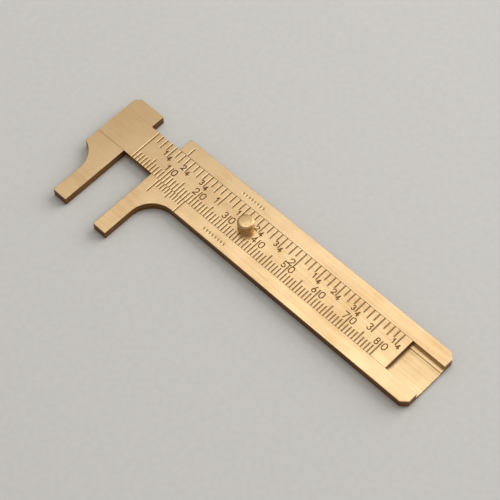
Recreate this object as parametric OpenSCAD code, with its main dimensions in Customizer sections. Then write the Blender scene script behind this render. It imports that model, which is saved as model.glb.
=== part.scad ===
// Brass pocket slide caliper with a millimetre scale, an inch scale and a tenth-millimetre vernier.
// The slide, with its jaw and thumb stud, runs in a dovetail channel milled in the frame.
// +X runs along the slide towards the frame's tail, +Y from the jaws to the inch edge, +Z up.
// The origin is under the middle of the caliper, on the flat back, with the jaws open by jaw_gap.

/* [Measuring range] */
// Length of the millimetre scale on the slide
scale_len = 80; // [60:5:150]
// Opening between the jaws as drawn
jaw_gap = 9.9; // [0.1:0.1:40]
// Distance from each jaw's measuring face to its zero mark
zero_setback = 2.75; // [2:0.05:6]
// Plain length of slide past the last millimetre mark
tail_len = 4.95; // [4:0.05:12]

/* [Frame] */
// Thickness of the frame and of both jaws
frame_t = 2.6; // [2.2:0.1:5]
// Width of each rail beside the channel
rail_w = 4.1; // [3.6:0.1:8]
// Reach of the jaws beyond the frame's edge
jaw_reach = 15.8; // [12:0.2:30]
// Width of the fixed jaw
fixed_jaw_w = 4.15; // [3:0.05:8]
// Radius where each jaw runs into its body
jaw_fillet_r = 7; // [3:0.1:9]
// Cut corners at the frame's tail, along the frame
tail_corner_x = 1.7; // [0.5:0.1:3]
// Cut corners at the frame's tail, across the frame
tail_corner_y = 1.5; // [0.5:0.1:3]

/* [Slide] */
// Width of the slide at its graduated face
bar_w = 9.7; // [8:0.1:16]
// Thickness of the slide
bar_t = 1.3; // [1:0.1:1.6]
// Lean of the dovetail sides from upright, in degrees
dovetail_angle = 9; // [4:1:20]
// Gap between the slide's sides and the rails
side_clear = 0.03; // [0.02:0.005:0.08]
// Gap between the slide and the channel floor
floor_clear = 0.1; // [0.05:0.01:0.2]

/* [Moving jaw] */
// Length of the head along the slide
head_len = 9.15; // [8:0.05:16]
// Width of the moving jaw
moving_jaw_w = 4.35; // [3:0.05:8]
// Cut corner of the head
head_corner = 1.35; // [0.5:0.05:3]

/* [Thumb stud] */
// Distance of the stud from the slide's zero mark
stud_x = 35.1; // [20:0.1:45]
// Diameter of the stud
stud_d = 4.3; // [3:0.1:7]
// Height of the stud above the slide
stud_h = 3.3; // [2:0.1:6]
// Radius round the stud's top edge
stud_edge_r = 0.55; // [0.2:0.1:1.4]
// Diameter of the stud's shank, riveted through the slide
stud_shank_d = 2; // [1:0.1:2.8]

/* [Friction spring] */
// Depth of the relief in the channel floor that holds the spring
relief_depth = 0.35; // [0.3:0.05:0.5]
// Width of floor left standing beside the relief
relief_ledge_w = 1.2; // [0.8:0.1:1.6]
// Length of the leaf spring
spring_len = 14; // [10:0.5:20]
// Width of the leaf spring
spring_w = 3.6; // [2.6:0.1:4]
// Thickness of the leaf spring
spring_t = 0.2; // [0.1:0.05:0.2]
// Diameter of the spring's rivet
rivet_d = 1.5; // [1:0.1:1.8]
// Diameter of the rivet's flat head
rivet_head_d = 2.8; // [2.2:0.1:3.2]

/* [Stop pin] */
// Diameter of the pin that keeps the slide from running out
stop_pin_d = 1; // [0.6:0.1:1.2]
// Distance of the pin from the slide's tail
stop_pin_setback = 4.95; // [3:0.05:8]

/* [Graduations] */
// Width of an engraved line
line_w = 0.18; // [0.1:0.01:0.25]
// Depth of an engraved line
line_depth = 0.08; // [0.04:0.01:0.12]
// Height of the millimetre and inch numerals
numeral_h = 1.75; // [1.2:0.05:2]

/* [Hidden] */
brass = "#d9b070";
spring_bronze = "#b98a55";
$fn = 64;
over = 1;          // how far a cutter stands past the face that it cuts
touch = 0.01;      // gap between pieces that press on each other
rivet_head_h = 0.2;
rivet_sink = 0.4;  // depth of the rivet's closed end, flush with the back
rivet_sink_d = rivet_d + 2 * rivet_sink;
pin_roof = 0.5;    // slide left over the stop pin's blind hole
pin_hole_depth = bar_t - pin_roof;
pin_tip_clear = 0.1;
spring_end_clear = 0.8;  // from the relief's end to the spring's free end
rivet_edge = 0.4;        // spring left past the rivet's head

// Lengths and places along the slide
sixteenth = 25.4 / 16;
frame_len = zero_setback + scale_len + tail_len;
total_len = head_len + jaw_gap + frame_len;
head_x = -total_len / 2;              // outer end of the head
moving_face_x = head_x + head_len;    // measuring face of the moving jaw
fixed_face_x = moving_face_x + jaw_gap;
frame_end_x = fixed_face_x + frame_len;
scale_x = moving_face_x + zero_setback;   // zero mark of the slide
vernier_x = fixed_face_x + zero_setback;  // zero mark of the frame
bar_end_x = moving_face_x + frame_len;    // flush with the frame's tail when the jaws close

// Places across the slide
channel_w = bar_w + 2 * side_clear;
frame_w = channel_w + 2 * rail_w;
total_w = frame_w + jaw_reach;
top_y = total_w / 2;
edge_y = top_y - frame_w;             // frame's edge on the jaws' side
tip_y = -total_w / 2;                 // tips of the jaws
mid_y = edge_y + frame_w / 2;         // middle of the slide
bar_low_y = mid_y - bar_w / 2;
bar_high_y = mid_y + bar_w / 2;

// Heights
bar_z = frame_t - bar_t;              // underside of the slide
channel_z = bar_z - floor_clear;
relief_z = channel_z - relief_depth;
lean = tan(dovetail_angle);

// The stop pin meets the end of the relief when the last millimetre mark reaches the vernier's zero
open_travel = scale_len - jaw_gap;
stop_pin_x = bar_end_x - stop_pin_setback;
relief_w = channel_w - 2 * relief_ledge_w;
relief_x = stop_pin_x - open_travel - stop_pin_d / 2 - touch;
stop_pin_y = mid_y + relief_w / 2 - stop_pin_d;
spring_x = relief_x + spring_end_clear;
spring_end_x = spring_x + spring_len;
rivet_x = spring_end_x - rivet_head_d / 2 - rivet_edge;
rivet_seat_len = rivet_head_d + 1.5 * rivet_edge;  // flat end of the spring, under the rivet's head

// ---- Shapes shared by several pieces ----

// A dovetail strip w wide at height z_top, running along X and wider below
module dovetail(x0, x1, w, z0, z_top) {
    half_top = w / 2;
    half_low = half_top + (z_top - z0) * lean;
    translate([x0, mid_y, 0]) rotate([90, 0, 90]) linear_extrude(x1 - x0)
        polygon([[-half_low, z0], [half_low, z0], [half_top, z_top], [-half_top, z_top]]);
}

// One straight engraved line across the slide, from y0 to y1 at x
module cross_line(x, y0, y1) {
    translate([x - line_w / 2, min(y0, y1), frame_t - line_depth])
        cube([line_w, abs(y1 - y0), line_depth + over]);
}

// A straight stroke of a numeral from p to q, with square ends
module stroke(p, q) {
    run = q - p;
    translate([p[0], p[1], 0]) rotate(atan2(run[1], run[0]))
        translate([-line_w / 2, -line_w / 2, 0]) cube([norm(run) + line_w, line_w, line_depth + over]);
}

// A round stroke about c from angle a, turning through sweep degrees
module bend(c, r, a, sweep) {
    translate([c[0], c[1], 0]) rotate(a) rotate_extrude(angle = sweep)
        translate([r - line_w / 2, 0]) square([line_w, line_depth + over]);
}

// A ring of a numeral: a round stroke a hair short of a full turn, so that it stays one stroke
module ring(c, r) {
    bend(c, r, 0, 359);
}

// The numerals 0 to 9, h high, centred on the origin and engraved downwards. Their proportions follow h.
module numeral(n, h) {
    w = 0.62 * h;                     // width over the strokes' middle lines
    r = w / 2;
    up = h / 2;
    bowl = h * 0.27;                  // radius of the bowls of 3, 6 and 8
    if (n == 0) {
        bend([0, up - r], r, 0, 180);
        bend([0, r - up], r, 180, 180);
        for (side = [-r, r]) stroke([side, r - up], [side, up - r]);
    }
    if (n == 1) {
        stroke([r * 0.3, -up], [r * 0.3, up]);
        stroke([r * 0.3, up], [-r * 0.6, up * 0.55]);
    }
    if (n == 2) {
        bend([0, up - r], r, -35, 215);
        stroke([r * cos(35), up - r - r * sin(35)], [-r, -up]);
        stroke([-r, -up], [r, -up]);
    }
    if (n == 3) {
        bend([0, up - bowl], bowl, -90, 250);
        bend([0, bowl - up], bowl, -160, 250);
    }
    if (n == 4) {
        stroke([r * 0.45, -up], [r * 0.45, up]);
        stroke([r * 0.45, up], [-r, -up * 0.3]);
        stroke([-r, -up * 0.3], [r, -up * 0.3]);
    }
    if (n == 5) {
        bend([0, bowl - up], bowl, -150, 270);
        stroke([-bowl * 0.8, up], [bowl * 0.9, up]);
        stroke([-bowl * 0.8, up], [-bowl * 0.8, 0]);
    }
    if (n == 6) {
        ring([0, bowl - up], bowl);
        stroke([-bowl, bowl - up], [bowl * 0.5, up]);
    }
    if (n == 7) {
        stroke([-r, up], [r, up]);
        stroke([r, up], [-r * 0.3, -up]);
    }
    if (n == 8) {
        ring([0, bowl - up], bowl);
        ring([0, up - bowl], bowl * 0.9);
    }
    if (n == 9) rotate(180) numeral(6, h);
}

module numeral_at(n, h, x, y) {
    translate([x, y, frame_t - line_depth]) numeral(n, h);
}

// ---- Graduations of the slide ----

mm_short = 2.45;
mm_five = 3.55;
mm_ten = 4.67;
mm_numeral_y = 3.93;                  // numerals' middle above the slide's lower edge
mm_numeral_gap = 1.15;                // numerals' middle either side of the ten's line
hundred_gap = 2.65;                   // middle of a third numeral, from the ten's line

module mm_scale() {
    for (mm = [1 : scale_len]) {
        len = mm % 10 == 0 ? mm_ten : mm % 5 == 0 ? mm_five : mm_short;
        cross_line(scale_x + mm, bar_low_y - over, bar_low_y + len);
    }
    for (ten = [1 : floor(scale_len / 10)]) {
        x = scale_x + 10 * ten;
        y = bar_low_y + mm_numeral_y;
        if (ten > 9) numeral_at(1, numeral_h, x - hundred_gap, y);
        numeral_at(ten % 10, numeral_h, x - mm_numeral_gap, y);
        numeral_at(0, numeral_h, x + mm_numeral_gap, y);
    }
}

inch_lens = [4.86, 2.17, 2.86, 2.17]; // inch, sixteenth, eighth, sixteenth
inch_quarter = 3.56;
// Middles of the inch numerals: to the left or right of their line, and above the slide's lower edge
inch_numeral_at = [-1.08, 5.6];
numerator_at = [-0.94, 6.67];
denominator_at = [0.9, 6.06];
fraction_h = 1.35;
inch_margin = 1;                      // plain slide left past the last inch line

module inch_scale() {
    count = floor((scale_len + tail_len - inch_margin) / sixteenth);
    for (k = [1 : count]) {
        len = k % 16 == 0 ? inch_lens[0] : k % 4 == 0 ? inch_quarter : inch_lens[k % 4];
        cross_line(scale_x + k * sixteenth, bar_high_y + over, bar_high_y - len);
    }
    for (quarter = [1 : floor(count / 4)]) {
        x = scale_x + quarter * 4 * sixteenth;
        if (quarter % 4 == 0) {
            numeral_at(quarter / 4, numeral_h, x + inch_numeral_at[0], bar_low_y + inch_numeral_at[1]);
        } else {
            numeral_at(quarter % 4, fraction_h, x + numerator_at[0], bar_low_y + numerator_at[1]);
            numeral_at(4, fraction_h, x + denominator_at[0], bar_low_y + denominator_at[1]);
        }
    }
}

// ---- Pieces ----

module frame() color(brass) {
    difference() {
        union() {
            linear_extrude(frame_t) polygon([
                [fixed_face_x, edge_y], [frame_end_x - tail_corner_x, edge_y],
                [frame_end_x, edge_y + tail_corner_y], [frame_end_x, top_y - tail_corner_y],
                [frame_end_x - tail_corner_x, top_y], [fixed_face_x, top_y]]);
            linear_extrude(frame_t) difference() {
                translate([fixed_face_x, tip_y]) square([fixed_jaw_w + jaw_fillet_r, jaw_reach]);
                translate([fixed_face_x + fixed_jaw_w + jaw_fillet_r, edge_y - jaw_fillet_r])
                    circle(jaw_fillet_r);
                translate([fixed_face_x + fixed_jaw_w, tip_y - over])
                    square([jaw_fillet_r + over, jaw_reach - jaw_fillet_r + over]);
            }
        }
        channel();
        translate([relief_x, mid_y - relief_w / 2, relief_z])
            cube([frame_end_x - relief_x + over, relief_w, frame_t]);
        rivet_bore();
        vernier();
    }
}

// The channel is the slide's own section with its clearances
module channel() {
    cut_top = frame_t + over;
    dovetail(fixed_face_x - over, frame_end_x + over, channel_w - 2 * over * lean, channel_z, cut_top);
}

vernier_pitch = 0.9;                  // ten divisions take up nine millimetres
vernier_short = 1.7;
vernier_five = 2.45;
inch_index = 2.6;

// Ten vernier divisions on the jaw-side rail, and the inch index on the other
module vernier() {
    channel_low_y = mid_y - channel_w / 2;
    channel_high_y = mid_y + channel_w / 2;
    for (k = [0 : 10]) {
        len = k % 10 == 0 ? rail_w : k == 5 ? vernier_five : vernier_short;
        cross_line(vernier_x + k * vernier_pitch, channel_low_y + over, channel_low_y - len);
    }
    cross_line(vernier_x, channel_high_y - over, channel_high_y + inch_index);
}

module slide_bar() color(brass) difference() {
    dovetail(head_x, bar_end_x, bar_w, bar_z, frame_t);
    cross_line(scale_x, bar_low_y - over, bar_high_y + over);
    mm_scale();
    inch_scale();
    translate([scale_x + stud_x, mid_y, bar_z - over]) cylinder(d = stud_shank_d, h = bar_t + 2 * over);
    translate([stop_pin_x, stop_pin_y, bar_z - over]) cylinder(d = stop_pin_d, h = pin_hole_depth + over);
}

// The head is recessed to the slide's own section, and the slide is brazed into it
module moving_jaw() color(brass) difference() {
    jaw_out_x = moving_face_x - moving_jaw_w;
    union() {
        linear_extrude(frame_t) polygon([
            [head_x, edge_y], [moving_face_x, edge_y], [moving_face_x, top_y],
            [head_x + head_corner, top_y], [head_x, top_y - head_corner]]);
        linear_extrude(frame_t) difference() {
            translate([head_x, tip_y]) square([head_len, jaw_reach]);
            translate([jaw_out_x - jaw_fillet_r, edge_y - jaw_fillet_r]) circle(jaw_fillet_r);
            translate([head_x - over, tip_y - over])
                square([head_len - moving_jaw_w + over, jaw_reach - jaw_fillet_r + over]);
        }
    }
    dovetail(head_x - over, moving_face_x + over, bar_w - 2 * over * lean, bar_z, frame_t + over);
}

module thumb_stud() color(brass) translate([scale_x + stud_x, mid_y, 0]) {
    translate([0, 0, bar_z]) cylinder(d = stud_shank_d, h = bar_t);
    translate([0, 0, frame_t]) rotate_extrude() {
        square([stud_d / 2, stud_h - stud_edge_r]);
        square([stud_d / 2 - stud_edge_r, stud_h]);
        translate([stud_d / 2 - stud_edge_r, stud_h - stud_edge_r]) intersection() {
            circle(stud_edge_r);
            square(stud_edge_r);
        }
    }
}

// Height of the leaf above its seat, at u from its rivet (0) to its free end (1)
function leaf_bow(u) = (relief_depth + floor_clear - spring_t - touch) * (1 - cos(360 * pow(u, 3))) / 2;

// The leaf lies flat under its rivet, bows up to press on the slide and dips again at its free end
module friction_spring() color(spring_bronze) difference() {
    seat_x = spring_end_x - rivet_seat_len;
    steps = 24;
    low = [for (i = [0 : steps]) [spring_x + (seat_x - spring_x) * i / steps, leaf_bow(1 - i / steps)]];
    line = concat(low, [[spring_end_x, 0]]);
    upper = [for (i = [len(line) - 1 : -1 : 0]) line[i] + [0, spring_t]];
    translate([0, mid_y + spring_w / 2, relief_z]) rotate([90, 0, 0]) linear_extrude(spring_w)
        polygon(concat(line, upper));
    rivet_bore();
}

module rivet_bore() {
    translate([rivet_x, mid_y, -over]) cylinder(d = rivet_d, h = frame_t + over);
    translate([rivet_x, mid_y, 0]) cylinder(d1 = rivet_sink_d, d2 = rivet_d, h = rivet_sink);
    translate([rivet_x, mid_y, -over]) cylinder(d = rivet_sink_d, h = over);
}

module spring_rivet() color(brass) translate([rivet_x, mid_y, 0]) {
    leaf_top = relief_z + spring_t;
    cylinder(d = rivet_d, h = leaf_top + rivet_head_h);
    cylinder(d1 = rivet_sink_d, d2 = rivet_d, h = rivet_sink);
    translate([0, 0, leaf_top]) cylinder(d = rivet_head_d, h = rivet_head_h);
}

module stop_pin() color(brass) translate([stop_pin_x, stop_pin_y, relief_z + pin_tip_clear])
    cylinder(d = stop_pin_d, h = bar_z + pin_hole_depth - relief_z - pin_tip_clear);

frame();
slide_bar();
moving_jaw();
thumb_stud();
friction_spring();
spring_rivet();
stop_pin();
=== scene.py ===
"""A brass pocket slide caliper: its surfaces, finishes, light and camera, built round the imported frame."""
import math
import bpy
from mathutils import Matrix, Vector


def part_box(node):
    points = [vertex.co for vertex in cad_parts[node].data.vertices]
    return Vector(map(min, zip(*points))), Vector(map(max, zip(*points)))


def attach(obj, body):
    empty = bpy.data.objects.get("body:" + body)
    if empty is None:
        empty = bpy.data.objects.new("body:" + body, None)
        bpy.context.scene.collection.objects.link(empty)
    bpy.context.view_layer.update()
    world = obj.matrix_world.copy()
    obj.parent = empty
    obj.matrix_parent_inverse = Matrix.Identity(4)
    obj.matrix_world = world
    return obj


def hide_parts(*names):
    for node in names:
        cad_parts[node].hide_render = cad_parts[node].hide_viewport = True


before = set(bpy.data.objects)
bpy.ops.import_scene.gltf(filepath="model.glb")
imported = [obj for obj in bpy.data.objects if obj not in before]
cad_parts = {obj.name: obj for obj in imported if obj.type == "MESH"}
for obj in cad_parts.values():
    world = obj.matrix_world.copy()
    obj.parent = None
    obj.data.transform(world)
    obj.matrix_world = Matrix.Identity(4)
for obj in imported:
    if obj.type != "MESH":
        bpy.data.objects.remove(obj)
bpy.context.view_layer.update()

from types import SimpleNamespace

import bpy
import numpy as np
from mathutils import Vector

bl_info = {
    "name": "Pocket Slide Caliper",
    "version": (1, 0, 0),
    "blender": (4, 5, 0),
    "location": "View3D > Sidebar > Caliper",
    "description": "Builds a brass slide caliper with engraved scales round its packed frame",
    "category": "Add Mesh",
}

# Meshes are worked out in millimetres, and become metres when a piece is finished.
MM = 0.001
SIXTEENTH = 25.4 / 16
LIFT = 0.01  # how far a cutter stands above the face that it cuts
OVERRUN = 1.0  # how far a cutter runs past a piece's ends or edges
# Faces steeper than this take the darker side colour: the duller sawn finish, with painted shade on the
# sides.
SHADED_SIDE_SLOPE = 0.6  # the slope, 0 for level and 1 for upright, from which a face counts as a sawn side
TIP_RADIUS = 0.18  # upright corners of the jaws, and of the frame at its fixed jaw
TAIL_RADIUS = 0.3  # upright corners of the frame's tail
HEAD_RADIUS = 0.4  # upright corners of the moving head
RIVET_TAIL, RIVET_SHANK = 1.15, 0.75  # radii of the spring rivet
COUNTERSINK = 0.4  # depth over which the rivet narrows from its tail to its shank
MARK_CREASE = 7  # degrees: fine enough to keep the marks' shallow shoulders crisp


def box_mm(node):
    """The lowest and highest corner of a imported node, in millimetres."""
    return tuple(np.array(corner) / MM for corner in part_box(node))


def turned_mm(node):
    """A round upright node's centre in plan, its radius, and its lowest and highest z, in millimetres."""
    low, high = box_mm(node)
    return (low[:2] + high[:2]) / 2, (high[0] - low[0]) / 2, low[2], high[2]


# ---- Sizes and colours that a user may change ----


def length(name, description, millimetres):
    """A length property whose default is given in millimetres."""
    return bpy.props.FloatProperty(
        name=name, description=description, default=millimetres * MM, unit="LENGTH", precision=5
    )


def angle(name, description, degrees):
    """An angle property whose default is given in degrees."""
    return bpy.props.FloatProperty(
        name=name, description=description, default=math.radians(degrees), subtype="ANGLE"
    )


def colour(name, description, default):
    """A colour property held as an sRGB hex value."""
    return bpy.props.StringProperty(name=name, description=description, default=default)


class CaliperSizes(bpy.types.PropertyGroup):
    """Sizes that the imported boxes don't give by themselves."""

    fixed_jaw_width: length("Fixed jaw width", "Width of the jaw that belongs to the frame", 4.15)
    moving_jaw_width: length("Moving jaw width", "Width of the jaw that belongs to the head", 4.35)
    jaw_fillet: length("Jaw fillet", "Radius where each jaw runs into its body", 7.0)
    tail_corner_x: length("Tail corner, along", "Cut corner of the frame's tail, along the frame", 1.7)
    tail_corner_y: length("Tail corner, across", "Cut corner of the frame's tail, across it", 1.5)
    head_corner: length("Head corner", "Cut corner of the moving head", 1.35)
    side_gap: length("Side gap", "Gap between the slide and each rail", 0.03)
    floor_gap: length("Floor gap", "Gap between the slide and the channel's floor", 0.1)
    relief_ledge: length("Relief ledge", "Floor left standing beside the relief", 1.2)
    relief_depth: length("Relief depth", "Depth of the relief below the channel's floor", 0.35)
    stud_edge: length("Stud edge", "Radius round the stud's top", 0.55)
    zero_setback: length("Zero setback", "From each measuring face to its zero mark", 2.75)
    plate_edge: length("Plate edge", "Radius round the frame's and jaw's edges", 0.12)
    slide_edge: length("Slide edge", "Radius along the slide's upper edges", 0.03)
    rail_edge: length("Rail edge", "Radius along the rails' inner edges", 0.06)
    dovetail_angle: angle("Dovetail angle", "Lean of the slide's sides from upright", 9)


class CaliperMarks(bpy.types.PropertyGroup):
    """The engraved scales."""

    scale_length: bpy.props.IntProperty(
        name="Scale length", description="Number of millimetre divisions", default=80
    )
    inch_divisions: bpy.props.IntProperty(
        name="Inch divisions", description="Number of sixteenths of an inch", default=52
    )
    line_width: length("Line width", "Width of an engraved line at the surface", 0.28)
    line_floor: length("Line floor", "Width of an engraved line at its bottom", 0.08)
    line_depth: length("Line depth", "Depth of an engraved line", 0.1)
    shoulder_width: length("Shoulder width", "Width of a scale line with its worn shoulders", 0.62)
    shoulder_depth: length("Shoulder depth", "Depth at which a scale line's shoulders end", 0.032)
    numeral_height: length("Numeral height", "Height of the scales' numerals", 1.75)
    fraction_height: length("Fraction height", "Height of the inch fractions' numerals", 1.35)


class CaliperFinish(bpy.types.PropertyGroup):
    """Colours of the metals, as sRGB hex values."""

    face: colour("Face", "Brushed brass of the frame, slide and jaws", "#F0CFA0")
    # The sides' colour is darker than the faces' as painted shade, on top of the duller cut finish.
    side: colour("Sides", "Cut brass of the edges all round", "#8E6233")
    # This colour is partly tarnish and partly painted shade in the hollows and along the gaps beside the
    # slide.
    mark: colour("Marks", "Tarnished brass in the bottom of the engraved lines", "#8A5F30")
    floor: colour("Channel floor", "Milled brass of the channel", "#F3D6A8")
    turned: colour("Turned", "Turned brass of the stud and pins", "#F0CFA0")
    bronze: colour("Bronze", "Rolled phosphor bronze of the leaf spring", "#B88452")


class CaliperStage(bpy.types.PropertyGroup):
    """Floor, light and camera."""

    paper: colour("Paper", "Pale matt paper under the caliper", "#EFEDE8")
    camera_azimuth: angle("Camera azimuth", "0 looks along +Y and 90 along -X", 46.28)
    camera_elevation: angle("Camera elevation", "Above the horizon", 59.56)
    camera_roll: angle("Camera roll", "Turn of the camera about its own axis", -2.29)
    camera_distance: length("Camera distance", "From the lens to the aim point", 446.7)
    lens: bpy.props.FloatProperty(
        name="Lens", description="Focal length in millimetres on a 36 mm sensor", default=133.46
    )
    key_power: bpy.props.FloatProperty(
        name="Softbox power", description="Power of the overhead softbox", default=0.48, unit="POWER"
    )
    back_power: bpy.props.FloatProperty(
        name="Back light power", description="Power of the light from behind", default=9.0, unit="POWER"
    )
    sky: bpy.props.FloatProperty(
        name="Sky", description="Strength of the even light from all round", default=0.34
    )


def in_mm(group):
    """The group's values in a plain namespace, with every length in millimetres."""
    values = {}
    for key, prop in group.bl_rna.properties.items():
        value = getattr(group, key)
        is_length = prop.type == "FLOAT" and prop.unit == "LENGTH"
        values[key] = value / MM if is_length else value
    return SimpleNamespace(**values)


def layout():
    """Places in millimetres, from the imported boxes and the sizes."""
    size = in_mm(bpy.context.scene.caliper_sizes)
    frame_lo, frame_hi = box_mm("frame")
    bar_lo, bar_hi = box_mm("slide_bar")
    jaw_lo, jaw_hi = box_mm("moving_jaw")
    place = SimpleNamespace(**vars(size))
    place.face_z = frame_hi[2]
    place.tip_y, place.top_y = frame_lo[1], frame_hi[1]
    place.fixed_face_x, place.tail_x = frame_lo[0], frame_hi[0]
    place.head_x, place.moving_face_x = jaw_lo[0], jaw_hi[0]
    place.mid_y = (bar_lo[1] + bar_hi[1]) / 2
    place.edge_y = 2 * place.mid_y - place.top_y
    place.bar_z, place.bar_end_x = bar_lo[2], bar_hi[0]
    place.lean = math.tan(size.dovetail_angle)
    place.bar_half = (bar_hi[1] - bar_lo[1]) / 2 - (place.face_z - place.bar_z) * place.lean
    place.channel_half = place.bar_half + size.side_gap
    place.floor_z = place.bar_z - size.floor_gap
    place.relief_z = place.floor_z - size.relief_depth
    place.scale_x = place.moving_face_x + size.zero_setback
    place.vernier_x = place.fixed_face_x + size.zero_setback
    place.bar_low_y = place.mid_y - place.bar_half
    place.bar_high_y = place.mid_y + place.bar_half
    place.rail_width = place.top_y - place.mid_y - place.channel_half
    return place


# ---- Outlines: closed, anticlockwise arrays of points ----


def arc(centre, radius, start, stop, steps):
    """Points on a circle about centre, from the angle start to stop in degrees."""
    turn = np.radians(np.linspace(start, stop, steps + 1))
    return np.array(centre) + radius * np.stack([np.cos(turn), np.sin(turn)], axis=1)


def rounded(corners, radii, steps=6):
    """A closed outline through corners, with an arc of its own radius at each one.

    The arc's centre lies on the corner's bisector, radius / sin(half the angle) away, and its points turn
    evenly from one tangent point to the other, in the given number of steps for a right angle. A radius of 0
    leaves the corner sharp.
    """
    nearly_straight, wide_radius, wide_steps = math.radians(89.9), 2, 40
    corners = np.asarray(corners, float)
    before = np.roll(corners, 1, axis=0) - corners
    after = np.roll(corners, -1, axis=0) - corners
    before /= np.linalg.norm(before, axis=1, keepdims=True)
    after /= np.linalg.norm(after, axis=1, keepdims=True)
    points = []
    for corner, back, on, radius in zip(corners, before, after, radii):
        half = math.acos(float(np.clip(back @ on, -1, 1))) / 2
        if radius <= 0 or half > nearly_straight:
            points.append(corner[None])
            continue
        bisector = (back + on) / np.linalg.norm(back + on)
        centre = corner + bisector * radius / math.sin(half)
        tangent = radius / math.tan(half)
        first, last = corner + back * tangent - centre, corner + on * tangent - centre
        turn = math.pi - 2 * half
        count = max(2, int(round(steps * turn / (math.pi / 2)))) if radius < wide_radius else wide_steps
        share = np.linspace(0, 1, count + 1)[:, None]
        step = np.sin((1 - share) * turn) * first + np.sin(share * turn) * last
        points.append(centre + step / math.sin(turn))
    return np.concatenate(points)


def mitres(outline):
    """Outward steps at each point of a closed outline that move both of its edges out by 1."""
    edge = np.roll(outline, -1, axis=0) - outline
    edge /= np.linalg.norm(edge, axis=1, keepdims=True)
    normal = np.stack([edge[:, 1], -edge[:, 0]], axis=1)
    both = normal + np.roll(normal, 1, axis=0)
    return 2 * both / np.sum(both**2, axis=1, keepdims=True)


# ---- Surfaces ----


def grid_faces(rows, columns, first=0):
    """Quads of a grid of rows by columns of points, closed round its columns."""
    row, column = np.meshgrid(np.arange(rows - 1), np.arange(columns), indexing="ij")
    here = first + row * columns + column
    beside = first + row * columns + (column + 1) % columns
    return np.stack([here, beside, beside + columns, here + columns], axis=-1).reshape(-1, 4)


def new_mesh(name, points, quads, caps, material):
    """A mesh from points, an array of quads and a list of many-sided caps."""
    mesh = bpy.data.meshes.new(name)
    mesh.from_pydata(points.tolist(), [], quads.tolist() + [list(map(int, cap)) for cap in caps])
    mesh.materials.append(material)
    mesh.update()
    return mesh


def coat(mesh, material, chosen):
    """Gives a second material to the faces for which chosen(heights, slopes) is true.

    A face's height is its centre's z, and its slope is how far its normal's z falls short of upright: 0 for a
    level face and 1 for a wall.
    """
    centre, normal = np.empty((2, len(mesh.polygons) * 3), np.float32)
    mesh.polygons.foreach_get("center", centre)
    mesh.polygons.foreach_get("normal", normal)
    mesh.materials.append(material)
    index = chosen(centre[2::3], 1 - np.abs(normal[2::3])).astype(np.int32)
    mesh.polygons.foreach_set("material_index", index)
    return mesh


def prism(name, outline, low, high, edge, material, along="z", steps=4):
    """A closed outline carried along an axis, with its two end edges rounded.

    Point (k, i) is outline point i moved in by the rounding's inset at step k, at that step's height. Over
    each rounding the inset is edge * (1 - sin a) and the height is edge * (1 - cos a) from the end, as a runs
    from 0 to 90 degrees.
    """
    turn = np.linspace(0, np.pi / 2, steps + 1) if edge > 0 else np.array([0.0])
    inset = edge * (1 - np.sin(turn))
    rise = edge * (1 - np.cos(turn))
    inset = np.concatenate([inset, inset[::-1]])
    height = np.concatenate([low + rise, high - rise[::-1]])
    flat = outline[None] - inset[:, None, None] * mitres(outline)[None]
    points = np.concatenate([flat, np.broadcast_to(height[:, None, None], flat.shape[:2] + (1,))], axis=2)
    points = points.reshape(-1, 3)
    if along == "x":
        points = points[:, [2, 0, 1]]
    rows, columns = len(height), len(outline)
    caps = [np.arange(columns)[::-1], np.arange(columns) + (rows - 1) * columns]
    return new_mesh(name, points, grid_faces(rows, columns), caps, material)


def lathe(name, profile, centre, material, turns=96):
    """A profile of (radius, height) turned about a vertical axis: (r cos a, r sin a, z) for a full turn.

    The profile runs from the lower end to the upper one, and each end closes with a flat cap.
    """
    angle = np.linspace(0, 2 * np.pi, turns, endpoint=False)
    ring = np.stack([np.cos(angle), np.sin(angle)], axis=1)
    profile = np.asarray(profile, float)
    flat = profile[:, None, :1] * ring[None] + np.array(centre)[None, None]
    height = np.broadcast_to(profile[:, None, 1:], flat.shape[:2] + (1,))
    points = np.concatenate([flat, height], axis=2).reshape(-1, 3)
    rows = len(profile)
    caps = [np.arange(turns)[::-1], np.arange(turns) + (rows - 1) * turns]
    return new_mesh(name, points, grid_faces(rows, turns), caps, material)


def joined(name, parts, material):
    """One mesh from a list of (points, quads) parts."""
    points, quads, first = [], [], 0
    for part_points, part_quads in parts:
        points.append(part_points)
        quads.append(part_quads + first)
        first += len(part_points)
    return new_mesh(name, np.concatenate(points), np.concatenate(quads), [], material)


# ---- Engraved strokes ----


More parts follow.
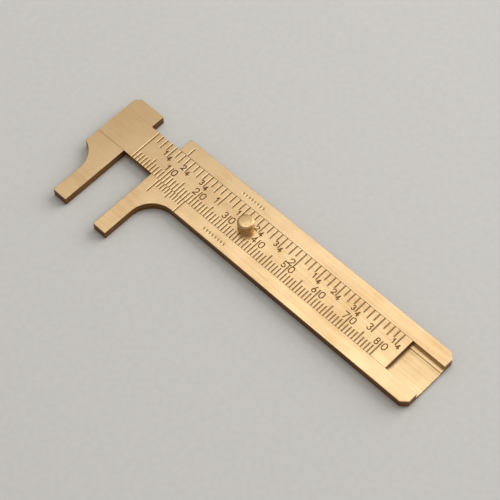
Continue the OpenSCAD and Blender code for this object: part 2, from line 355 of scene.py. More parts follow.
def engraver(widths, depths, face_z):
    """A function that turns a path into the solid that engraves it.

    The solid's section has the given widths at the given depths, from the surface down, and its first slope
    runs on up by LIFT. At point i of the path it stands across the path's mitre, so its walls keep their
    slope round a bend, and its ends slope as its sides do.
    """
    half, depth = np.array(widths) / 2, np.array(depths, float)
    half[0] += (half[0] - half[1]) / (depth[1] - depth[0]) * LIFT
    depth[0] = -LIFT
    right = np.column_stack([half, -depth])
    section = np.concatenate([right, right[::-1] * [-1, 1]])
    levels = len(half)

    def solid(path, closed=False):
        path = np.asarray(path, float)
        step = np.diff(np.concatenate([path, path[:1]]) if closed else path, axis=0)
        step /= np.linalg.norm(step, axis=1, keepdims=True)
        if closed:
            before, after = np.roll(step, 1, axis=0), step
        else:
            before, after = np.concatenate([step[:1], step]), np.concatenate([step, step[-1:]])
        both = before + after
        both = 2 * both / np.sum(both**2, axis=1, keepdims=True)
        across = np.stack([both[:, 1], -both[:, 0]], axis=1)
        flat = path[:, None] + section[None, :, :1] * across[:, None]
        height = np.broadcast_to(face_z + section[None, :, 1:], flat.shape[:2] + (1,))
        points = np.concatenate([flat, height], axis=2)
        if closed:
            points = np.concatenate([points, points[:1]])
        else:
            reach = np.abs(section[:, :1])
            points[0, :, :2] -= step[0] * reach
            points[-1, :, :2] += step[-1] * reach
        rows, columns = len(points), 2 * levels
        quads = grid_faces(rows, columns)
        if closed:
            points = points[:-1]
            quads = quads % (columns * (rows - 1))
        else:
            level = np.arange(levels - 1)
            cap = np.stack([level, level + 1, columns - 2 - level, columns - 1 - level], axis=1)
            quads = np.concatenate([quads, cap[:, ::-1], cap + columns * (rows - 1)])
        return points.reshape(-1, 3), quads

    return solid


def glyph(digit, height):
    """The one or two strokes of a numeral about its middle, as (path, closed) pairs in millimetres.

    Every figure is drawn from straight strokes and arcs, whose places are shares of its height. Whatever is
    over 7 is drawn as 8, the highest figure on the scales.
    """
    half = height / 2
    side = 0.31 * height
    bowl = 0.27 * height
    small = 0.9 * bowl
    if digit == 0:
        top, bottom = arc((0, half - side), side, 0, 180, 12), arc((0, side - half), side, 180, 360, 12)
        return [(np.concatenate([top, bottom]), True)]
    if digit == 1:
        top = [0.25 * side, half]
        flag = np.array([[-0.5 * side, 0.5 * half], top])
        return [(np.array([top, [0.25 * side, -half]]), False), (flag, False)]
    if digit == 2:
        bend = np.concatenate([arc((0, half - side), side, 170, -40, 14), [[-side, -half]]])
        return [(bend, False), (np.array([[-side, -half], [side, -half]]), False)]
    if digit == 3:
        upper = arc((0, half - small), small, 155, -80, 12)
        return [(upper, False), (arc((0, bowl - half), bowl, 80, -155, 14), False)]
    if digit == 4:
        bar, stem = -0.35 * half, 0.3 * side
        body = np.array([[side, bar], [-side, bar], [stem, half], [stem, -half]])
        return [(body[:3], False), (body[2:], False)]
    if digit == 5:
        bend = arc((-0.05 * side, bowl - half), bowl, 130, -150, 16)
        return [(bend, False), (np.array([[0.8 * side, half], [-0.7 * side, half], bend[0]]), False)]
    if digit == 6:
        ring = arc((0, bowl - half), bowl, 0, 360, 18)[:-1]
        stem = np.array([[-0.95 * bowl, 1.25 * bowl - half], [0.35 * side, half]])
        return [(ring, True), (stem, False)]
    if digit == 7:
        corner = [side, half]
        leg = np.array([corner, [-0.25 * side, -half]])
        return [(np.array([[-side, half], corner]), False), (leg, False)]
    lower = arc((0, bowl - half), bowl, 0, 360, 18)[:-1]
    upper = arc((0, half - small), small, 0, 360, 16)[:-1]
    return [(lower, True), (upper, True)]


def numeral(cut, digit, height, x, y):
    """The engraving solids of one numeral with its middle at (x, y)."""
    return [cut(path + np.array([x, y]), closed) for path, closed in glyph(digit, height)]


def cross_line(cut, x, y_from, y_to):
    """The engraving solid of a straight line across the slide."""
    return cut(np.array([[x, y_from], [x, y_to]]))


def engravers(marks, face_z):
    """One engraver for the scales' lines, whose shoulders are worn, and one for their numerals."""
    widths = (marks.shoulder_width, 0.75 * marks.line_width, marks.line_floor)
    line = engraver(widths, (0, marks.shoulder_depth, marks.line_depth), face_z)
    return line, engraver((marks.line_width, marks.line_floor), (0, marks.line_depth), face_z)


def darkened(mesh, face_z, skin=0.02):
    """The cutter's mesh with the dark hollow colour on the faces whose middles lie deeper than skin, where
    nothing rubs: tarnish, deepened as painted shade in the hollows.
    """
    return coat(mesh, tarnish_and_shade_mark(), lambda height, slope: height < face_z - skin)


def layers(numerals):
    """The numerals' first strokes and their second strokes, so that no two solids of a layer meet."""
    return [strokes[0] for strokes in numerals], [strokes[1] for strokes in numerals if len(strokes) > 1]


def millimetre_scale(line, cut, place, marks):
    """Lines every millimetre up from the slide's lower edge, longer at each fifth, with the tens numbered."""
    ten_line, five_line, one_line = 4.67, 3.55, 2.45
    ten_left, zero_right, number_up = 1.12, 1.2, 3.93  # a number's two figures stand either side of its line
    lines, numerals = [], []
    for mm in range(1, marks.scale_length + 1):
        tall = ten_line if mm % 10 == 0 else five_line if mm % 5 == 0 else one_line
        lines.append(cross_line(line, place.scale_x + mm, place.bar_low_y - OVERRUN, place.bar_low_y + tall))
    for ten in range(1, marks.scale_length // 10 + 1):
        x, y = place.scale_x + 10 * ten, place.bar_low_y + number_up
        numerals.append(numeral(cut, ten, marks.numeral_height, x - ten_left, y))
        numerals.append(numeral(cut, 0, marks.numeral_height, x + zero_right, y))
    return lines, numerals


def inch_scale(line, cut, place, marks):
    """Lines every sixteenth of an inch down from the upper edge, with each quarter marked as a fraction."""
    inch_line, quarter_line, eighth_line, sixteenth_line = 4.86, 3.56, 2.86, 2.17
    inch_left, inch_up = 1.08, 5.6
    over_left, over_up = 0.94, 6.67  # a fraction's upper figure, left of the line
    under_right, under_up = 0.9, 6.06  # a fraction's lower figure, right of the line
    low, high = place.bar_low_y, place.bar_high_y
    lines, numerals = [], []
    for k in range(1, marks.inch_divisions + 1):
        if k % 16 == 0:
            deep = inch_line
        elif k % 4 == 0:
            deep = quarter_line
        else:
            deep = eighth_line if k % 2 == 0 else sixteenth_line
        x = place.scale_x + k * SIXTEENTH
        lines.append(cross_line(line, x, high + OVERRUN, high - deep))
    for quarter in range(1, marks.inch_divisions // 4 + 1):
        x = place.scale_x + quarter * 4 * SIXTEENTH
        if quarter % 4 == 0:
            numerals.append(numeral(cut, quarter // 4, marks.numeral_height, x - inch_left, low + inch_up))
        else:
            numerals.append(numeral(cut, quarter % 4, marks.fraction_height, x - over_left, low + over_up))
            numerals.append(numeral(cut, 4, marks.fraction_height, x + under_right, low + under_up))
    return lines, numerals


def vernier_scale(line, place):
    """Ten divisions of 0.9 mm on the jaw-side rail, and the inch scale's index line on the other rail."""
    division, divisions = 0.9, 10
    middle_line, short_line, index_line = 2.45, 1.7, 2.6
    low = place.mid_y - place.channel_half
    high = place.mid_y + place.channel_half
    parts = [cross_line(line, place.vernier_x, high - OVERRUN, high + index_line)]
    for k in range(divisions + 1):
        deep = middle_line if 2 * k == divisions else short_line
        if k % divisions == 0:
            deep = place.rail_width
        parts.append(cross_line(line, place.vernier_x + division * k, low + OVERRUN, low - deep))
    return parts


def lozenge_row(face_z, x, y):
    """A row of small stamped lozenges: blunt pyramids with corners half_x and half_y from their middles."""
    count, pitch, depth = 8, 0.95, 0.07
    half_x, half_y = 0.42, 0.7
    bottom = 0.3  # size of a lozenge's flat bottom, as a share of its size at the face
    spread = 1 + (1 - bottom) * LIFT / depth
    corners = np.array([[half_x, 0], [0, half_y], [-half_x, 0], [0, -half_y]])
    parts = []
    for k in range(count):
        middle = np.array([x + (k - (count - 1) / 2) * pitch, y])
        low = np.column_stack([middle + corners * bottom, np.full(4, face_z - depth)])
        high = np.column_stack([middle + corners * spread, np.full(4, face_z + LIFT)])
        quads = np.concatenate([grid_faces(2, 4), [[3, 2, 1, 0], [4, 5, 6, 7]]])
        parts.append((np.concatenate([low, high]), quads))
    return parts


# ---- Materials ----


def linear(hex_colour):
    """An sRGB hex value as linear red, green, blue and alpha."""
    srgb = np.array([int(hex_colour[i : i + 2], 16) for i in (1, 3, 5)]) / 255
    rgb = np.where(srgb <= 0.04045, srgb / 12.92, ((srgb + 0.055) / 1.055) ** 2.4)
    return (*rgb.tolist(), 1.0)


def add(tree, kind, settings=None, values=None, links=None):
    """Adds a node, sets its settings and socket values, and links named inputs from other nodes' sockets."""
    node = tree.nodes.new(kind)
    for key, value in (settings or {}).items():
        setattr(node, key, value)
    for key, value in (values or {}).items():
        node.inputs[key].default_value = value
    for key, socket in (links or {}).items():
        tree.links.new(socket, node.inputs[key])
    return node


def fresh_material(name):
    """An empty node material and its tree, or None for the tree if the material is already made."""
    made = bpy.data.materials.get(name)
    if made:
        return made, None
    material = bpy.data.materials.new(name)
    material.use_nodes = True
    material.node_tree.nodes.clear()
    return material, material.node_tree


def streaks(tree, along, across, seed):
    """Noise drawn out along X: along and across are the streaks' length and width in millimetres."""
    place = add(tree, "ShaderNodeTexCoord").outputs["Object"]
    scale = (1 / (along * MM), 1 / (across * MM), 1 / (across * MM))
    mapping = add(tree, "ShaderNodeMapping", values={"Location": (seed, 0, 0), "Scale": scale},
                  links={"Vector": place})
    return add(tree, "ShaderNodeTexNoise", values={"Scale": 1.0, "Detail": 2.0, "Roughness": 0.6},
               links={"Vector": mapping.outputs["Vector"]}).outputs["Fac"]


def blotches(tree, across, seed):
    """Soft round noise of the given size in millimetres, as handling leaves on bare brass."""
    place = add(tree, "ShaderNodeTexCoord").outputs["Object"]
    mapping = add(tree, "ShaderNodeMapping", values={"Location": (seed, seed, 0)}, links={"Vector": place})
    return add(tree, "ShaderNodeTexNoise", values={"Scale": 1 / (across * MM), "Detail": 3.0},
               links={"Vector": mapping.outputs["Vector"]}).outputs["Fac"]


def spread(tree, value, low, high):
    """A noise value, which lies mostly between 0.3 and 0.7, stretched to run from low to high."""
    return add(tree, "ShaderNodeMapRange", links={"Value": value},
               values={"From Min": 0.3, "From Max": 0.7, "To Min": low, "To Max": high}).outputs["Result"]


def brass(name, base, tarnish, rough, grain, seed, bump=0.25):
    """Bare brass: a metal with a fine grain of rub marks and a soft haze from handling.

    base and tarnish are hex colours, rough the mean roughness, and grain the (length, width) of a rub mark in
    millimetres. Rub marks from 320 grit are near 0.03 mm wide, too fine to show, so they are drawn coarser.
    """
    material, tree = fresh_material(name)
    if tree is None:
        return material
    haze_size, rub_height = 9.0, 0.004
    rub_wear = 0.04  # how far a rub mark's roughness strays from the mean
    marks = streaks(tree, grain[0], grain[1], seed)
    haze = blotches(tree, haze_size, seed)
    share = add(tree, "ShaderNodeMath", {"operation": "MULTIPLY"},
                links={0: spread(tree, haze, 0.0, 1.0), 1: spread(tree, marks, 0.4, 1.0)}).outputs[0]
    mixed = add(tree, "ShaderNodeMix", {"data_type": "RGBA"},
                values={"A": linear(base), "B": linear(tarnish)}, links={"Factor": share})
    wear = add(tree, "ShaderNodeMath", {"operation": "ADD"},
               links={0: spread(tree, marks, rough - rub_wear, rough + rub_wear),
                      1: spread(tree, haze, -0.02, 0.03)})
    relief = add(tree, "ShaderNodeBump", values={"Strength": bump, "Distance": rub_height * MM},
                 links={"Height": marks})
    shader = add(tree, "ShaderNodeBsdfPrincipled", values={"Metallic": 1.0},
                 links={"Base Color": mixed.outputs["Result"], "Roughness": wear.outputs[0],
                        "Normal": relief.outputs["Normal"]})
    add(tree, "ShaderNodeOutputMaterial", links={"Surface": shader.outputs["BSDF"]})
    return material


def metals():
    """The metals' colours as the user has set them."""
    return bpy.context.scene.caliper_finish


def brushed_face():
    """Satin brass of the faces and edges: pale gold, with an even soft sheen."""
    return brass("brushed_brass", metals().face, "#DDB683", 0.33, (14.0, 0.35), 3.0)


def sawn_side_painted_shade():
    """Brass as the saw and file left it round the edges: duller and unpolished, and browner as painted shade
    on the sides, which turn away from the light.
    """
    return brass("sawn_brass_painted_shade", metals().side, "#6F4A24", 0.42, (3.0, 0.4), 4.0)


def tarnish_and_shade_mark():
    """Deep brown brass for the hollows: tarnish that nothing rubs bright in the engraved lines and the seam,
    deepened there as painted shade, and painted shade alone in the stamps' bottoms and on the rails' brows
    beside the slide, so that the lines and figures read dark.
    """
    return brass("engraving_tarnish_and_shade", metals().mark, "#6B4620", 0.3, (1.0, 0.3), 8.0, bump=0.1)


def milled_floor():
    """Brass left as the milling cutter made it: a shade paler than the faces, with long plain tool marks."""
    return brass("milled_brass", metals().floor, "#D9B27C", 0.36, (40.0, 0.7), 5.0, bump=0.5)


def turned_brass():
    """Brass from the lathe, handled daily: pale gold like the faces, with a fine grain all ways."""
    return brass("turned_brass", metals().turned, "#D8B074", 0.4, (0.6, 0.6), 6.0, bump=0.1)


def rolled_bronze():
    """Cold-rolled phosphor bronze strip: redder than the brass, and dull."""
    return brass("rolled_phosphor_bronze", metals().bronze, "#8F6238", 0.38, (6.0, 0.25), 7.0)


def matt_paper():
    """Heavy uncoated paper: pale, with a faint mottle from its fibres and no shine."""
    material, tree = fresh_material("matt_paper")
    if tree is None:
        return material
    tone = bpy.context.scene.caliper_stage.paper
    fibres = blotches(tree, 1.5, 2.0)
    mixed = add(tree, "ShaderNodeMix", {"data_type": "RGBA"},
                values={"A": linear(tone), "B": linear("#E8E5E0")},
                links={"Factor": spread(tree, fibres, 0.0, 0.6)})
    shader = add(tree, "ShaderNodeBsdfPrincipled", values={"Roughness": 0.9, "IOR": 1.5},
                 links={"Base Color": mixed.outputs["Result"]})
    add(tree, "ShaderNodeOutputMaterial", links={"Surface": shader.outputs["BSDF"]})
    return material


# ---- Pieces from meshes ----


def piece_from(data):
    """A new object in the scene that holds the mesh, or the light or camera."""
    holder = bpy.data.objects.new(data.name, data)
    bpy.context.scene.collection.objects.link(holder)
    return holder


def apply_modifiers(piece):
    """Bakes the piece's modifiers into its mesh."""
    graph = bpy.context.evaluated_depsgraph_get()
    baked = bpy.data.meshes.new_from_object(piece.evaluated_get(graph), depsgraph=graph)
    baked.name = piece.data.name
    piece.modifiers.clear()
    old = piece.data
    piece.data = baked
    bpy.data.meshes.remove(old)


def cut_away(piece, cutter_mesh):
    """Takes the cutter's solid out of the piece. The walls that it leaves keep the cutter's material."""
    cutter = piece_from(cutter_mesh)
    modifier = piece.modifiers.new("cut", "BOOLEAN")
    modifier.operation = "DIFFERENCE"
    modifier.solver = "EXACT"
    modifier.material_mode = "TRANSFER"
    modifier.object = cutter
    apply_modifiers(piece)
    bpy.data.objects.remove(cutter)
    bpy.data.meshes.remove(cutter_mesh)


def finish_piece(piece, crease=30):
    """Brings the mesh to metres, marks edges sharper than crease degrees, and weights its normals by area."""
    mesh = piece.data
    co = np.empty(len(mesh.vertices) * 3, np.float32)
    mesh.vertices.foreach_get("co", co)
    mesh.vertices.foreach_set("co", co * MM)
    mesh.polygons.foreach_set("use_smooth", np.ones(len(mesh.polygons), bool))
    mesh.set_sharp_from_angle(angle=math.radians(crease))
    mesh.update()
    weights = piece.modifiers.new("weights", "WEIGHTED_NORMAL")
    weights.keep_sharp = True
    weights.weight = 90
    return piece


def settle(piece, body, node):
    """Hangs the piece on the body that it moves with, and hides the CAD node that it stands for."""
    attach(piece, body)
    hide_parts(node)


def milled_line(low, high, depth, pitch, seed):
    """A floor line across the channel with tool marks: heights fall by up to depth, from a seeded draw."""
    count = max(2, int(round((high - low) / pitch)))
    y = np.linspace(low, high, count + 1)[1:-1]
    fall = np.random.default_rng(seed).uniform(0, depth, len(y))
    return np.column_stack([y, -fall])


# ---- Operators: one for each piece or group of like pieces ----


class CALIPER_OT_frame(bpy.types.Operator):
    """Build the frame: channel, rails, fixed jaw and vernier"""

    bl_idname = "caliper.frame"
    bl_label = "Frame"

    def execute(self, context):
        place, marks = layout(), in_mm(context.scene.caliper_marks)
        jaw_x = place.fixed_face_x + place.fixed_jaw_width
        corners = [
            (place.fixed_face_x, place.tip_y), (jaw_x, place.tip_y), (jaw_x, place.edge_y),
            (place.tail_x - place.tail_corner_x, place.edge_y),
            (place.tail_x, place.edge_y + place.tail_corner_y),
            (place.tail_x, place.top_y - place.tail_corner_y),
            (place.tail_x - place.tail_corner_x, place.top_y),
            (place.fixed_face_x, place.top_y),
        ]
        outline = rounded(corners, [TIP_RADIUS] * 2 + [place.jaw_fillet] + [TAIL_RADIUS] * 4 + [TIP_RADIUS])
        plate = prism("channel_frame", outline, 0, place.face_z, place.plate_edge, brushed_face())
        # The frame's steep sides take the darker side colour, painted shade.
        body = piece_from(coat(plate, sawn_side_painted_shade(), lambda height, slope: slope > SHADED_SIDE_SLOPE))
        cut_away(body, self.channel(place))
        cut_away(body, self.relief(place))
        cut_away(body, self.rivet_bore())
        line, _ = engravers(marks, place.face_z)
        cutter = joined("vernier_cutter", vernier_scale(line, place), brushed_face())
        # The vernier lines' hollows take the dark hollow colour: tarnish, deepened as painted shade.
        cut_away(body, darkened(cutter, place.face_z))
        cut_away(body, self.stamps(place))
        settle(finish_piece(body, crease=MARK_CREASE), "frame_body", "frame")
        return {"FINISHED"}

    def channel(self, place):
        """The dovetail channel: its section flares over the rails' edges, and its floor carries tool marks.

        The rounded edges take the dark hollow colour as painted shade in the gaps beside the slide, and the
        leaning walls and the floor are as milled.
        """
        half_low = place.channel_half + (place.face_z - place.floor_z) * place.lean
        floor = milled_line(-half_low, half_low, depth=0.012, pitch=0.16, seed=11)
        floor[:, 1] += place.floor_z
        right = self.rail_brow(place, place.rail_edge)
        left = self.rail_brow(place, place.slide_edge) * [-1, 1]
        corner = np.array([[half_low, place.floor_z]])
        section = np.concatenate([left, corner * [-1, 1], floor, corner, right[::-1]])
        section[:, 0] += place.mid_y
        start, stop = place.fixed_face_x - OVERRUN, place.tail_x + OVERRUN
        cutter = prism("channel_cutter", section, start, stop, 0, milled_floor(), "x")
        # Above brow_z the rounded brows take the dark hollow colour: painted shade in the gaps beside the
        # slide.
        brow_z, upright = place.face_z - 0.1, 0.99
        return coat(cutter, tarnish_and_shade_mark(), lambda height, slope: (height > brow_z) & (slope < upright))

    def rail_brow(self, place, radius):
        """A rail's inner upper edge in section: an arc of the given radius, with the cutter's rise above it.

        The arc's middle stands radius * (1 / cos a + tan a) into the rail, where a is the wall's lean.
        """
        set_in, wall_end = 1.17, 189  # for a wall that leans by 9 degrees
        proud = 0.002  # lifts the arc's top clear of the face
        edge = arc((place.channel_half + radius * set_in, place.face_z - radius), radius, 90, wall_end, 6)
        edge[0, 1] += proud
        return np.concatenate([[[edge[0, 0], place.face_z + OVERRUN]], edge])

    def stamps(self, place):
        """A row of stamped lozenges on each rail, with painted shadow in their bottoms."""
        along, high_share, low_share = 31, 0.45, 0.55  # the shares are of the rail's width, from the channel
        x = place.scale_x + along
        high = place.mid_y + place.channel_half + high_share * place.rail_width
        low = place.mid_y - place.channel_half - low_share * place.rail_width
        rows = lozenge_row(place.face_z, x, high) + lozenge_row(place.face_z, x, low)
        # Only the lozenges' bottoms, deeper than the skin, are darkened: painted shadow.
        return darkened(joined("stamp_cutter", rows, brushed_face()), place.face_z, skin=0.06)

    def relief(self, place):
        """The shallow relief along the middle of the floor, in which the leaf spring lies."""
        room = 0.8  # between the relief's end and the spring's tip
        half = place.channel_half - place.relief_ledge
        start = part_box("friction_spring")[0][0] / MM - room
        floor = milled_line(-half, half, depth=0.015, pitch=0.22, seed=12)
        floor[:, 1] += place.relief_z
        low = [[-half, place.relief_z]]
        high = [[half, place.relief_z], [half, place.face_z], [-half, place.face_z]]
        section = np.concatenate([low, floor, high])
        section[:, 0] += place.mid_y
        return prism("relief_cutter", section, start, place.tail_x + OVERRUN, 0, milled_floor(), "x")

    def rivet_bore(self):
        """The spring rivet's bore with its countersink, a hair wider than the rivet."""
        centre, _, _, top = turned_mm("spring_rivet")
        hair, past = 0.01, 0.5
        tail, shank = RIVET_TAIL + hair, RIVET_SHANK + hair
        profile = [(tail, -past), (tail, 0), (shank, COUNTERSINK), (shank, top + past)]
        return lathe("bore_cutter", profile, centre, milled_floor(), 48)


class CALIPER_OT_slide(bpy.types.Operator):
    """Build the graduated slide"""

    bl_idname = "caliper.slide"
    bl_label = "Slide"

    def execute(self, context):
        place, marks = layout(), in_mm(context.scene.caliper_marks)
        section = dovetail_section(place, 0, place.slide_edge)
        end_edge = place.slide_edge / 2
        bar = prism("graduated_slide", section, place.head_x, place.bar_end_x, end_edge, brushed_face(), "x")
        # The slide's leaning sides take the darker side colour, painted shade that darkens the gaps beside
        # the rails.
        slide = piece_from(coat(bar, sawn_side_painted_shade(), lambda height, slope: slope > SHADED_SIDE_SLOPE))
        line, cut = engravers(marks, place.face_z)
        zero = cross_line(line, place.scale_x, place.bar_low_y - OVERRUN, place.bar_high_y + OVERRUN)
        mm_lines, mm_numerals = millimetre_scale(line, cut, place, marks)
        inch_lines, inch_numerals = inch_scale(line, cut, place, marks)
        for parts in ([zero, *mm_lines], inch_lines, *layers(mm_numerals), *layers(inch_numerals)):
            cutter = joined("scale_cutter", parts, brushed_face())
            # The scale lines' and numerals' hollows take the dark hollow colour: tarnish, deepened as painted
            # shade.
            cut_away(slide, darkened(cutter, place.face_z))
        settle(finish_piece(slide, crease=MARK_CREASE), "slide_body", "slide_bar")
        return {"FINISHED"}


def dovetail_section(place, grow, edge):
    """The slide's section across X, grown by grow all round, with its upper edges rounded by edge."""
    low_edge = 0.1
    half_low = place.bar_half + (place.face_z - place.bar_z) * place.lean
    corners = np.array([(-half_low, place.bar_z), (half_low, place.bar_z),
                        (place.bar_half, place.face_z), (-place.bar_half, place.face_z)])
    corners[:, 0] += place.mid_y
    outline = rounded(corners, [low_edge, low_edge, edge, edge], steps=4)
    return outline + grow * mitres(outline)


class CALIPER_OT_moving_jaw(bpy.types.Operator):
    """Build the head with the moving jaw"""

    bl_idname = "caliper.moving_jaw"
    bl_label = "Moving jaw"

    def execute(self, context):
        place = layout()
        radius, fillet_steps = place.jaw_fillet, 40
        jaw_x = place.moving_face_x - place.moving_jaw_width
        centre = (jaw_x - radius, place.edge_y - radius)
        start = math.degrees(math.acos((place.head_x - centre[0]) / radius))
        tip = rounded([(jaw_x, centre[1]), (jaw_x, place.tip_y), (place.moving_face_x, place.tip_y),
                       (place.moving_face_x, place.top_y), (place.head_x + place.head_corner, place.top_y),
                       (place.head_x, place.top_y - place.head_corner), (place.head_x, place.edge_y)],
                      [0, TIP_RADIUS, TIP_RADIUS, TIP_RADIUS, HEAD_RADIUS, HEAD_RADIUS, 0])
        outline = np.concatenate([tip[1:-1], arc(centre, radius, start, 0, fillet_steps)])
        plate = prism("jaw_head", outline, 0, place.face_z, place.plate_edge, brushed_face())
        # The head's steep sides take the darker side colour, painted shade.
        head = piece_from(coat(plate, sawn_side_painted_shade(), lambda height, slope: slope > SHADED_SIDE_SLOPE))
        cut_away(head, self.recess(place))
        cut_away(head, self.seam(place))
        settle(finish_piece(head), "slide_body", "moving_jaw")
        return {"FINISHED"}

    def recess(self, place):
        """The recess into which the slide is let: the slide's own section, a hair larger all round."""
        section = dovetail_section(place, grow=0.004, edge=0.01)
        start, stop = place.head_x - OVERRUN, place.moving_face_x + OVERRUN
        return prism("recess_cutter", section, start, stop, 0, brushed_face(), "x")

    def seam(self, place):
        """The brazed seam along the slide's lower edge: a fine groove that stops short of the jaw's face."""
        width, bottom, depth, short = 0.14, 0.04, 0.06, 0.1
        groove = engraver((width, bottom), (0, depth), place.face_z)
        path = [[place.head_x - OVERRUN, place.bar_low_y], [place.moving_face_x - short, place.bar_low_y]]
        return joined("seam_cutter", [groove(path)], tarnish_and_shade_mark())


class CALIPER_OT_stud(bpy.types.Operator):
    """Turn the thumb stud"""

    bl_idname = "caliper.stud"
    bl_label = "Thumb stud"

    def execute(self, context):
        place = layout()
        centre, radius, _, top = turned_mm("thumb_stud")
        edge = place.stud_edge
        shank, chamfer = 1.0, 0.12
        crown = 0.08  # the top disc is turned a little proud in the middle
        foot = place.face_z + 0.004  # a hair above the slide, so that the two don't share a face
        below = [(shank, place.bar_z), (shank, foot), (radius - chamfer, foot), (radius, foot + chamfer)]
        dome = arc((radius - edge, top - crown - edge), edge, 0, 84, 14)
        share = np.linspace(0.9, 0.02, 8)
        disc = np.column_stack([(radius - edge) * share, top - crown * share**2])
        profile = np.concatenate([below, dome, disc])
        stud = piece_from(lathe("thumb_button", profile, centre, turned_brass()))
        settle(finish_piece(stud), "slide_body", "thumb_stud")
        return {"FINISHED"}


class CALIPER_OT_spring(bpy.types.Operator):
    """Bend the leaf spring"""

    bl_idname = "caliper.spring"
    bl_label = "Leaf spring"

    def execute(self, context):
        place = layout()
        low, high = box_mm("friction_spring")
        thick, seat, end_round = 0.2, 3.4, 0.5  # the seat is the flat end under the rivet
        rise = high[2] - low[2] - thick
        free = high[0] - seat - low[0]
        x = np.concatenate([low[0] + free * np.linspace(0, 1, 61), [high[0]]])
        run = np.clip((high[0] - seat - x) / free, 0, 1)
        bow = rise * (1 - np.cos(2 * np.pi * run**3)) / 2
        half = np.full(len(x), (high[1] - low[1]) / 2)
        ends = np.minimum(x - low[0], high[0] - x)
        half -= end_round * np.clip(1 - ends / end_round, 0, 1) ** 2
        across = np.array([-1, -1, 1, 1])
        up = np.array([1, 0, 0, 1]) * thick
        points = np.stack([
            np.repeat(x[:, None], 4, axis=1),
            place.mid_y + half[:, None] * across,
            low[2] + bow[:, None] + up,
        ], axis=2).reshape(-1, 3)
        rows = len(x)
        caps = [np.arange(4)[::-1], np.arange(4) + 4 * (rows - 1)]
        leaf = piece_from(new_mesh("leaf_spring", points, grid_faces(rows, 4), caps, rolled_bronze()))
        settle(finish_piece(leaf), "frame_body", "friction_spring")
        return {"FINISHED"}


class CALIPER_OT_pins(bpy.types.Operator):
    """Turn the spring rivet and the stop pin"""

    bl_idname = "caliper.pins"
    bl_label = "Rivet and stop pin"

    def execute(self, context):
        centre, head, _, top = turned_mm("spring_rivet")
        sunk, tail_edge, head_thick = 0.02, 0.05, 0.2
        profile = [(RIVET_TAIL - tail_edge, sunk), (RIVET_TAIL, tail_edge), (RIVET_SHANK, COUNTERSINK + sunk),
                   (RIVET_SHANK, top - head_thick), (head, top - head_thick),
                   (head, top - 0.1), (head - 0.12, top - 0.02), (head - 0.4, top)]
        rivet = piece_from(lathe("leaf_rivet", profile, centre, turned_brass(), 64))
        settle(finish_piece(rivet), "frame_body", "spring_rivet")
        centre, radius, low, high = turned_mm("stop_pin")
        chamfer = 0.1
        profile = [(radius - chamfer, low), (radius, low + chamfer), (radius, high)]
        pin = piece_from(lathe("travel_stop", profile, centre, turned_brass(), 48))
        settle(finish_piece(pin), "slide_body", "stop_pin")
        return {"FINISHED"}


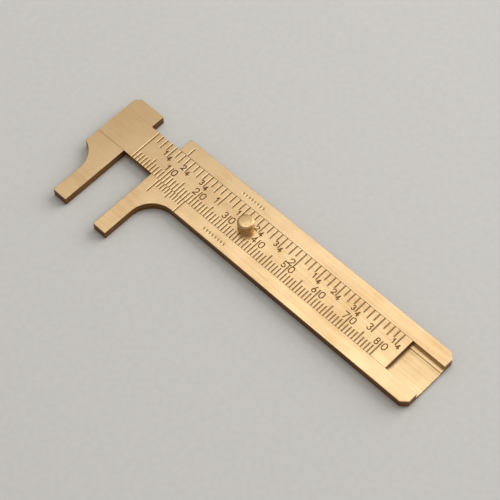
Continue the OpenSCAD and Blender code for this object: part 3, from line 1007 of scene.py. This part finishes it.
class CALIPER_OT_stage(bpy.types.Operator):
    """Lay the floor and set the lights and the camera"""

    bl_idname = "caliper.stage"
    bl_label = "Stage"

    def execute(self, context):
        stage = context.scene.caliper_stage
        self.floor()
        aim = Vector((-1.33, 4.09, 2.6)) * MM  # the point of the upper face at the middle of the view
        self.softbox("key_softbox", aim, stage.key_power, azimuth=225, elevation=72, distance=0.6, size=0.3)
        self.softbox("back_softbox", aim, stage.back_power, azimuth=165, elevation=30, distance=1.2, size=1.1)
        self.world(stage.sky)
        context.scene.view_settings.view_transform = "Standard"
        self.camera(stage, aim)
        return {"FINISHED"}

    def floor(self):
        """A square sheet of paper, a hair below the caliper's back. Its half side is in metres."""
        half = 1.5
        corner = np.array([[-half, -half], [half, -half], [half, half], [-half, half]])
        mesh = bpy.data.meshes.new("paper_floor")
        mesh.from_pydata(np.column_stack([corner, np.full(4, -0.01 * MM)]).tolist(), [], [(0, 1, 2, 3)])
        mesh.materials.append(matt_paper())
        piece_from(mesh)

    def direction(self, azimuth, elevation):
        """Unit step from the aim point towards a place: azimuth 0 is on the -Y side and 90 on the +X side."""
        turn, rise = math.radians(azimuth), math.radians(elevation)
        return Vector((math.sin(turn) * math.cos(rise), -math.cos(turn) * math.cos(rise), math.sin(rise)))

    def softbox(self, name, aim, power, azimuth, elevation, distance, size):
        """A square area light that faces aim, with its distance and side in metres and its power in watts."""
        light = bpy.data.lights.new(name, "AREA")
        light.shape = "SQUARE"
        light.size = size
        light.energy = power
        lamp = piece_from(light)
        towards = self.direction(azimuth, elevation)
        lamp.location = aim + towards * distance
        lamp.rotation_euler = towards.to_track_quat("Z", "Y").to_euler()

    def world(self, strength):
        """Even, nearly white light from all round."""
        world = bpy.data.worlds.new("studio")
        world.use_nodes = True
        background = world.node_tree.nodes["Background"]
        background.inputs["Color"].default_value = linear("#F4F2EE")
        background.inputs["Strength"].default_value = strength
        bpy.context.scene.world = world

    def camera(self, stage, aim):
        """A camera turned to aim, and then rolled about its own axis."""
        data = bpy.data.cameras.new("camera")
        data.sensor_width = 36
        data.lens = stage.lens
        data.clip_start = 0.01
        camera = piece_from(data)
        back = self.direction(math.degrees(stage.camera_azimuth), math.degrees(stage.camera_elevation))
        camera.location = aim + back * stage.camera_distance
        turn = back.to_track_quat("Z", "Y").to_matrix()
        roll = stage.camera_roll
        right = turn.col[0] * math.cos(roll) + turn.col[1] * math.sin(roll)
        up = turn.col[1] * math.cos(roll) - turn.col[0] * math.sin(roll)
        for row in range(3):
            turn[row][0], turn[row][1] = right[row], up[row]
        camera.rotation_euler = turn.to_euler()
        bpy.context.scene.camera = camera


class CALIPER_PT_panel(bpy.types.Panel):
    """Buttons that build the caliper"""

    bl_idname = "CALIPER_PT_panel"
    bl_label = "Pocket Slide Caliper"
    bl_space_type = "VIEW_3D"
    bl_region_type = "UI"
    bl_category = "Caliper"

    def draw(self, context):
        for operator in OPERATORS:
            self.layout.operator(operator.bl_idname)
        for group in ("caliper_sizes", "caliper_marks", "caliper_finish", "caliper_stage"):
            values = getattr(context.scene, group)
            box = self.layout.box()
            for key in values.__annotations__:
                box.prop(values, key)


OPERATORS = (
    CALIPER_OT_frame,
    CALIPER_OT_slide,
    CALIPER_OT_moving_jaw,
    CALIPER_OT_stud,
    CALIPER_OT_spring,
    CALIPER_OT_pins,
    CALIPER_OT_stage,
)
GROUPS = {
    "caliper_sizes": CaliperSizes,
    "caliper_marks": CaliperMarks,
    "caliper_finish": CaliperFinish,
    "caliper_stage": CaliperStage,
}


def register():
    for group in (*GROUPS.values(), *OPERATORS, CALIPER_PT_panel):
        bpy.utils.register_class(group)
    for name, group in GROUPS.items():
        setattr(bpy.types.Scene, name, bpy.props.PointerProperty(type=group))


def unregister():
    for name in GROUPS:
        delattr(bpy.types.Scene, name)
    for group in reversed((*GROUPS.values(), *OPERATORS, CALIPER_PT_panel)):
        bpy.utils.unregister_class(group)


def main():
    register()
    bpy.ops.caliper.frame()
    bpy.ops.caliper.slide()
    bpy.ops.caliper.moving_jaw()
    bpy.ops.caliper.stud()
    bpy.ops.caliper.spring()
    bpy.ops.caliper.pins()
    bpy.ops.caliper.stage()


if __name__ == "__main__":
    main()
